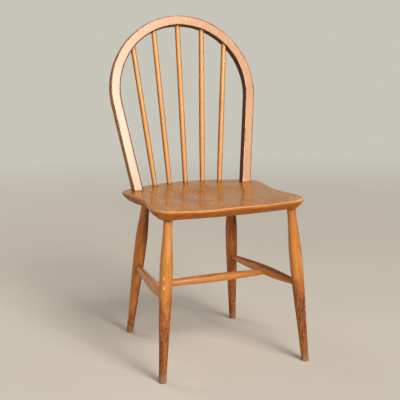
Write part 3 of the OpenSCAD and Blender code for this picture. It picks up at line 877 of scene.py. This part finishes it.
def tenon_marks(points, along):
    """Rub, grime and end grain on the tenon's lower end."""
    end = smooth(SEAT_UNDER + TENON_FROM, SEAT_UNDER, points[..., 2])
    return stacked(0, 0, 0.4 * end), stacked(0.2 * end, 0, 0.6 * end)


HOOP_CHIPS = [  # (place, size, strength)
    (hoop_place(-(HOOP_R + HOOP_W / 2), 0.003, HOOP_RISE - 0.035), 0.0035, 1.0),
    (hoop_place(-0.120, 0.001, HOOP_RISE + 0.166), 0.003, 0.6),
    (hoop_place(0.168, 0.001, 0.006), 0.004, 0.8),
    (hoop_place(0.201, 0.021, HOOP_RISE - 0.02), 0.005, 0.8),
    (hoop_place(-0.06, 0.022, HOOP_RISE + 0.196), 0.005, 0.8),
]


def make_hoop():
    out, back, arris = hoop_section().T
    deep = back + HOOP_D / 2
    rings, lengths = hoop_rings(out, deep)
    grain = stacked(out + HOOP_PITH[0], deep + HOOP_PITH[1], lengths[:, None] + HOOP_PITH[2])
    front = smooth(*FRONT_FADE, deep)
    inner, outer = smooth(*SIDE_FADE, -out), smooth(*SIDE_FADE, out)
    arrises = arris * (ARRIS_BACK + ARRIS_FRONT * front)
    # painted shade on the inner and outer side faces, with the browner arrises
    wash = np.maximum(INNER_SHADE_TINT * inner, OUTER_SHADE_TINT * outer + ARRIS_FILM * arrises)
    near_stick = sum(blob(rings, square_axis(node_points(n))[1], HOLE_GRIME_SIZE) for n in SPINDLES) * inner
    foot = smooth(SEAT_TOP + FOOT_GRIME_RISE, SEAT_TOP, rings[..., 2])
    # painted shade on the inner face, and grime round the stick holes and at the feet
    grime_and_shade = INNER_SHADE_DARK * inner + HOLE_GRIME * near_stick + FOOT_GRIME * foot
    # paler front face: partly wear, partly painted sheen
    wear = stacked(strongest(rings, HOOP_CHIPS), wash, FRONT_WEAR_AND_SHEEN * front * (1 - arris))
    patch = Patch()
    patch.add(*(field[:, ::-1] for field in (rings, grain, wear, stacked(grime_and_shade, 0, 0))))

    for side in (-1, 1):
        foot_x = side * (HOOP_R * math.cos(HOOP_DRAW) - HOOP_LEG * math.sin(HOOP_DRAW))
        top = hoop_place(foot_x, HOOP_D / 2, 0)
        down = unit(hoop_place(foot_x - side * math.sin(HOOP_DRAW), HOOP_D / 2, -math.cos(HOOP_DRAW)) - top)
        low = top + down * (SEAT_UNDER - top[2]) / down[2]
        up = top - down * TENON_RISE
        t = np.linspace(0, np.linalg.norm(up - low), TENON_RINGS)
        t, r = broken_ends(t, np.full(TENON_RINGS, HOOP_TENON_R), TENON_ARRIS, 0.0)
        cuts = (SEAT_UNDER - PROUD, up[2])
        lathe(patch, low, up, t, r, TENON_SIDES, pith_for(), tenon_marks, level=cuts)
    patch.build("bent_hoop", ["hoop"], bent)


make_hoop()


# ---- Seat ----

FRONT_HALF, WAIST_HALF = 201 * MM, 184 * MM
FRONT_R, REAR_R = 60 * MM, 28 * MM
FRONT_BOW, REAR_BOW = math.radians(9), math.radians(38)
SIDE_CUT, FRONT_CUT = 19 * MM, 32 * MM
FRONT_Y, REAR_Y = -SEAT_DEPTH / 2, SEAT_DEPTH / 2
WAIST_SHARE = 0.47  # the waist's place between the front and rear corners
EDGE_STEPS = 22

DISH, DISH_HALF_W = 9 * MM, WAIST_HALF - 22 * MM
DISH_FRONT, DISH_REAR = FRONT_Y + 76 * MM, REAR_Y - FOOT_INSET_Y - 4 * MM
THIGH, THIGH_X, THIGH_HALF = 1.5 * MM, FRONT_HALF * 0.4, 42 * MM
THIGH_END = DISH_FRONT + 40 * MM

RIM_DROP, RIM_INSET = 6 * MM, 9 * MM
RIM_POWER = 2 / 2.6  # of the superellipse that rounds the rim
CUT_POWER = 1.4  # how hollow the bevel under the edge is
RIM_RINGS = 12
BEVEL_RINGS = np.linspace(0.96, 0.06, 13)
UNDER_RINGS = (0.30, 0.5, 0.7, 0.85, 0.95, 0.99)
TOP_RINGS = (0.985, 0.965, 0.94, 0.91, 0.88, 0.845, 0.81, 0.77, 0.73, 0.69,
             *np.linspace(0.65, 0.05, 13))

# Wood: where the board's pith lies, and how fast its rings rise towards the back.
SEAT_PITH, RING_RISE = (0.012, 0.085, 7.1), 0.10
END_FADE = (0.55, 0.95)  # how far the edge faces front or back, where it turns to end grain
RIM_END = 0.6  # and end grain shows this much on the rounded rim

# Wear, dirt, a painted highlight, and a darker underside.
LEG_RING_R, LEG_RING_WIDTH, LEG_RING_GRIME = 0.0122, 0.0035, 0.9
STICK_RING_SIZE, STICK_RING_GRIME = 0.0105, 0.85
FOOT_RING_WIDTH, FOOT_RING_GRIME = 0.006, 0.8
REAR_GRIME, REAR_GRIME_FADE = 0.16, (0.10, 0.19)
# darker all over underneath
UNDER_DARKENING = 0.22
SAT_RUB, CORNER_RUB, LIP_RUB, LIP_FADE = 0.30, 0.55, 0.15, (-0.18, -0.215)
# a pale line along the rounded rim: a little rub all round, and a painted highlight, strongest where the
# rim faces front
RIM_RUB_AND_HIGHLIGHT, FRONT_RIM_HIGHLIGHT, FRONT_HIGHLIGHT_FADE = 0.15, 0.95, (0.3, 0.9)
RIM_HIGHLIGHT_PLACE, RIM_HIGHLIGHT_WIDTH = 0.52, 0.17  # the painted highlight's place and width on the rounded rim, from 0 outside to 1 inside
EDGE_FILM, END_FILM = 0.75, -0.40  # the edge is brown, less so where it faces front or back
TOP_FILM, REAR_FILM = 0.10, 0.18
SAT = ((0.0, -0.03, SEAT_TOP), (0.12, 0.11, 1.0))
WORN_CORNERS = (
    ((-0.168, -0.188, SEAT_TOP), (0.030, 0.022, 1.0)),
    ((0.172, -0.182, SEAT_TOP), (0.036, 0.030, 1.0)),
)
SEAT_CHIPS = [  # (place, size, strength)
    ((-0.176, -0.205, SEAT_TOP - 0.003), 0.003, 0.7),
    ((-0.02, SHIFT + FRONT_Y + 0.002, SEAT_TOP - 0.004), 0.004, 0.7),
    ((0.09, SHIFT + FRONT_Y + 0.004, SEAT_TOP - 0.003), 0.003, 0.7),
    ((-0.186, -0.02, SEAT_TOP - 0.006), 0.004, 0.7),
    ((0.186, 0.03, SEAT_TOP - 0.005), 0.005, 0.8),
    ((0.196, 0.152, SEAT_TOP - 0.008), 0.006, 0.9),
    ((0.06, SHIFT + REAR_Y - 0.006, SEAT_TOP - 0.008), 0.004, 0.8),
]


def ease(t):
    return (1 - np.cos(math.pi * np.clip(t, 0, 1))) / 2


def saddle(x, y):
    """Height of the dished top against its rim."""
    middle = (DISH_FRONT + DISH_REAR) / 2
    r2 = (x / DISH_HALF_W) ** 2 + ((y - middle) / (DISH_REAR - middle)) ** 2
    dish = -DISH * np.clip(1 - r2, 0, None) ** 1.5
    hollow = -THIGH * band(np.abs(x), THIGH_X, THIGH_HALF)
    return dish + hollow * ease((THIGH_END - y) / (THIGH_END - FRONT_Y))


def end_part(half, r, bow):
    """Half of a bowed end and its corner, from the middle outwards, and where the corner ends."""
    x_end = half - r + r * math.sin(bow)
    big = x_end / math.sin(bow)
    a = bow * np.arange(EDGE_STEPS) / EDGE_STEPS
    edge = stacked(big * np.sin(a), big * (1 - np.cos(a)))
    corner_end = x_end * math.tan(bow / 2) + r * math.cos(bow)
    c = np.linspace(math.pi / 2 - bow, 0, EDGE_STEPS, endpoint=False)
    corner = stacked(half - r + r * np.cos(c), corner_end - r * np.sin(c))
    return np.concatenate((edge, corner)), corner_end


def side_part(half_from, half_to, y_from, y_to):
    t = np.arange(EDGE_STEPS) / EDGE_STEPS
    return stacked(half_from + (half_to - half_from) * ease(t), y_from + (y_to - y_from) * t)


def seat_outline():
    """The outline from the middle of the front round by the right, the back and the left."""
    front, front_end = end_part(FRONT_HALF, FRONT_R, FRONT_BOW)
    rear, rear_end = end_part(REAR_HALF, REAR_R, REAR_BOW)
    y_front, y_rear = FRONT_Y + front_end, REAR_Y - rear_end
    waist = y_front + (y_rear - y_front) * WAIST_SHARE
    half = np.concatenate((
        front + (0, FRONT_Y),
        side_part(FRONT_HALF, WAIST_HALF, y_front, waist),
        side_part(WAIST_HALF, REAR_HALF, waist, y_rear),
        [(REAR_HALF, y_rear)],
        stacked(rear[::-1, 0], REAR_Y - rear[::-1, 1]),
    ))
    return np.concatenate((half, half[-2:0:-1] * (-1, 1)))


def outward(line):
    """The outline's outward directions, evened out a little at the corners."""
    tangent = np.roll(line, -1, axis=0) - np.roll(line, 1, axis=0)
    normal = stacked(tangent[:, 1], -tangent[:, 0])
    normal /= np.linalg.norm(normal, axis=1, keepdims=True)
    for _ in range(3):
        normal = (np.roll(normal, 1, axis=0) + 2 * normal + np.roll(normal, -1, axis=0)) / 4
        normal /= np.linalg.norm(normal, axis=1, keepdims=True)
    return normal


def seat_rings(line, normal):
    """The seat's rings about its own middle, from under it round the edge to the top, and their kinds."""
    under_cut = (SIDE_CUT + (FRONT_CUT - SIDE_CUT) * ease((-normal[:, 1] - 0.8) / 0.2))[:, None]
    thick = SEAT_TOP - SEAT_UNDER
    rows = []  # (outline, height below the rim, share of the saddle, kind)
    for share in UNDER_RINGS:
        rows.append(((line - under_cut * normal) * share, thick, 0.0, "under"))
    rows.append((line - under_cut * 0.985 * normal, thick - 0.1 * MM, 0.0, "under"))
    for t in BEVEL_RINGS:
        drop = RIM_DROP + (thick - RIM_DROP) * t
        rows.append((line - (under_cut * t ** CUT_POWER + SKIN) * normal, drop, 1 - t, "side"))
    for a in np.linspace(0, math.pi / 2, RIM_RINGS):
        inset = RIM_INSET * (1 - math.cos(a) ** RIM_POWER)
        drop = RIM_DROP * (1 - math.sin(a) ** RIM_POWER)
        rows.append((line - (inset + SKIN) * normal, drop, 1.0, "rim"))
    for share in TOP_RINGS:
        rows.append(((line - RIM_INSET * normal) * share, 0.0, 1.0, "top"))
    rings = [stacked(*p.T, SEAT_TOP - drop + share * saddle(*p.T)) for p, drop, share, _ in rows]
    return np.array(rings), np.array([kind for *_, kind in rows])


def seat_darkening(x, y, on_top, under):
    """Grime round everything that enters the seat and along its rear rim, and darker all over underneath.
    """
    grime_and_shade = np.zeros(x.shape)
    for name in LEG_WEAR:
        low, high = level_axis(node_points(name))
        for centre, face in ((high, on_top), (low + (high - low) * (SEAT_UNDER / SEAT_TOP), 1 - on_top)):
            away = np.hypot(x - centre[0], y - centre[1])
            grime_and_shade = np.maximum(grime_and_shade, face * LEG_RING_GRIME * band(away, LEG_RING_R, LEG_RING_WIDTH))
    for name in SPINDLES:
        a, b = square_axis(node_points(name))
        foot = a + (b - a) * (SEAT_TOP - a[2]) / (b[2] - a[2])
        away = np.hypot(x - foot[0], y - foot[1])
        grime_and_shade = np.maximum(grime_and_shade, on_top * STICK_RING_GRIME * band(away, 0, STICK_RING_SIZE))
    for side in (-1, 1):
        foot = hoop_place(side * HOOP_FOOT_WISH, HOOP_D / 2, 0)
        away = np.maximum(np.abs(x - foot[0]) - HOOP_W / 2, np.abs(y - foot[1]) - HOOP_D / 2)
        grime_and_shade = np.maximum(grime_and_shade, on_top * FOOT_RING_GRIME * smooth(FOOT_RING_WIDTH, 0.0, away))
    rear_rim = on_top * smooth(*REAR_GRIME_FADE, y) * REAR_GRIME
    return np.maximum(grime_and_shade, rear_rim) + under * UNDER_DARKENING, rear_rim


def make_seat():
    line = seat_outline()
    normal = outward(line)
    rings, kinds = seat_rings(line, normal)
    x, y, z = np.moveaxis(rings, -1, 0)
    grain = stacked(x + SEAT_PITH[0], z - SEAT_TOP + SEAT_PITH[1] + y * RING_RISE, y + SEAT_PITH[2])
    rings[..., 1] += SHIFT

    def over(*wanted):
        """1 on the rings of those kinds, and 0 on the others."""
        return np.isin(kinds, wanted)[:, None] * np.ones(x.shape)

    on_top = over("top", "rim")
    frontward = -normal[:, 1]
    end = smooth(*END_FADE, np.abs(frontward)) * (over("side") + RIM_END * over("rim"))
    grime_and_shade, rear_rim = seat_darkening(x, y, on_top, over("under"))

    # painted highlight along the rounded rim, strongest where it faces front
    rim_highlight = np.zeros(x.shape)
    rim_highlight[kinds == "rim"] = band(np.linspace(0, 1, RIM_RINGS), RIM_HIGHLIGHT_PLACE, RIM_HIGHLIGHT_WIDTH)[:, None]
    corners = sum(blob(rings, np.array(place), size) for place, size in WORN_CORNERS)
    paling = SAT_RUB * on_top * blob(rings, np.array(SAT[0]), SAT[1])
    paling = paling + CORNER_RUB * on_top * corners + on_top * smooth(*LIP_FADE, y) * LIP_RUB
    paling = paling + (RIM_RUB_AND_HIGHLIGHT + FRONT_RIM_HIGHLIGHT * smooth(*FRONT_HIGHLIGHT_FADE, frontward)) * rim_highlight
    edge_film = EDGE_FILM + END_FILM * np.abs(frontward)
    browned = edge_film * (1 - on_top) + TOP_FILM * on_top + REAR_FILM * rear_rim
    patch = Patch()
    patch.add(rings, grain, stacked(strongest(rings, SEAT_CHIPS), browned, paling), stacked(grime_and_shade, 0, end))
    patch.build("shaped_seat", ["seat"], plank)


make_seat()


# ---- Wedges: thin strips of end grain across the tenons ----

LEG_TENON_R = 11.25 * MM
WEDGE_CLEAR = 0.0004  # the strip stops this far inside the tenon's edge
WEDGE_POINTS = 25
WEDGE_LEVELS = ((-0.0012, 0.0), (PROUD + 0.00008, 0.0), (PROUD + 0.00014, 0.00012))  # (height, inset)
WEDGE_PITH, WEDGE_RUN = (0.03, 0.02), 5  # the strip's place in its own stock
WEDGE_END = 0.6


def make_wedge(name, tenon_r):
    from_below = "hoop" in name
    low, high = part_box(name)
    face, way = (low.z, -1) if from_below else (high.z, 1)
    points = node_points(name)
    flat = points[np.abs(points[:, 2] - face) < SAME_LEVEL]
    middle = box_middle(flat)
    half_t = (flat[:, 1].max() - flat[:, 1].min()) / 2
    half_l = tenon_r - WEDGE_CLEAR
    reach = half_l * math.sqrt(1 - (half_t / half_l) ** 2)
    edge = np.array([(reach * u, -half_t) for u in np.linspace(-1, 1, WEDGE_POINTS)])
    outline = np.concatenate((edge, -edge))
    rings = np.array([
        stacked(*(middle[:2] + outline * (1 - inset / half_t)).T, face + way * height)
        for height, inset in WEDGE_LEVELS])[:, ::way]
    grain = rings + (*WEDGE_PITH, rng.uniform(0, WEDGE_RUN))
    clean = np.zeros(rings.shape)
    patch = Patch()
    patch.add(rings, grain, clean, clean + (0, 0, WEDGE_END))
    patch.build(name.replace("wedge", "wedge_strip"), [name], wedge)


for end_name in ("front_left", "front_right", "rear_left", "rear_right"):
    make_wedge("leg_wedge_" + end_name, LEG_TENON_R)
for side_name in ("left", "right"):
    make_wedge("hoop_wedge_" + side_name, HOOP_TENON_R)


# ---- Studio: pale floor, soft light ----

BACKDROP = linear(200, 197, 186)
FLOOR_DARK, FLOOR_PALE = linear(222, 213, 198), linear(228, 220, 206)
FLOOR_HALF = 40
FLOOR_MOTTLE = (1.6, 1.6, 1.6)
FADE_FROM, FADE_FULL = 0.9, 4.0  # the floor fades into the backdrop this far from the chair
AMBIENT, AMBIENT_STRENGTH = (1.0, 0.98, 0.95, 1), 0.20
LAMP_TARGET = Vector((0, 0, 0.45))

# (azimuth, elevation, distance, size, watts, colour)
LAMPS = {
    "key": (10, 42, 7.2, 3.6, 295, (1.0, 0.98, 0.95)),
    "sheen": (10, 19, 6.4, 1.6, 150, (1.0, 0.99, 0.98)),
    "fill": (-80, 26, 3.5, 2.0, 7, (0.98, 0.98, 1.0)),
    "back": (-150, 38, 3.6, 2.0, 24, (1.0, 0.99, 0.97)),
}


def make_floor():
    mesh = bpy.data.meshes.new("floor")
    corners = [(x * FLOOR_HALF, y * FLOOR_HALF, 0) for x, y in ((-1, -1), (1, -1), (1, 1), (-1, 1))]
    mesh.from_pydata(corners, [], [(0, 1, 2, 3)])
    floor = bpy.data.objects.new("floor", mesh)
    bpy.context.scene.collection.objects.link(floor)
    s = Shader("studio_floor", specular=0.0)
    place = s.node("TexCoord", {}).outputs["Object"]
    s.set("Base Color", s.blend(s.noise(place, FLOOR_MOTTLE, 4, 0.6), FLOOR_DARK, FLOOR_PALE))
    s.set("Roughness", 0.75)
    away = s.node("VectorMath", {0: place}, operation="LENGTH").outputs["Value"]
    distant = s.times(s.seen(), s.ramp(away, FADE_FROM, FADE_FULL))
    glow = s.node("Emission", {"Color": BACKDROP, "Strength": 1.0}).outputs[0]
    mix = s.node("MixShader", {0: distant, 1: s.bsdf.outputs[0], 2: glow}).outputs[0]
    s.put(s.out.inputs["Surface"], mix)
    mesh.materials.append(s.material)


def make_world():
    world = bpy.data.worlds.new("studio")
    world.use_nodes = True
    nodes = Nodes(world.node_tree)
    ambient = nodes.node("Background", {"Color": AMBIENT, "Strength": AMBIENT_STRENGTH}).outputs[0]
    backdrop = nodes.node("Background", {"Color": BACKDROP, "Strength": 1.0}).outputs[0]
    mix = nodes.node("MixShader", {0: nodes.seen(), 1: ambient, 2: backdrop}).outputs[0]
    nodes.node("OutputWorld", {"Surface": mix})
    bpy.context.scene.world = world


def make_lamp(name, azimuth, elevation, distance, size, watts, colour):
    back = direction(math.radians(azimuth), math.radians(elevation))
    data = bpy.data.lights.new(name, "AREA")
    data.shape, data.size, data.energy, data.color = "DISK", size, watts, colour
    lamp = bpy.data.objects.new(name, data)
    lamp.rotation_mode = "QUATERNION"
    lamp.rotation_quaternion = back.to_track_quat("Z", "Y")
    lamp.location = LAMP_TARGET + back * distance
    bpy.context.scene.collection.objects.link(lamp)


make_floor()
make_world()
for lamp_name, facts in LAMPS.items():
    make_lamp(lamp_name, *facts)
bpy.context.scene.view_settings.view_transform = "Standard"
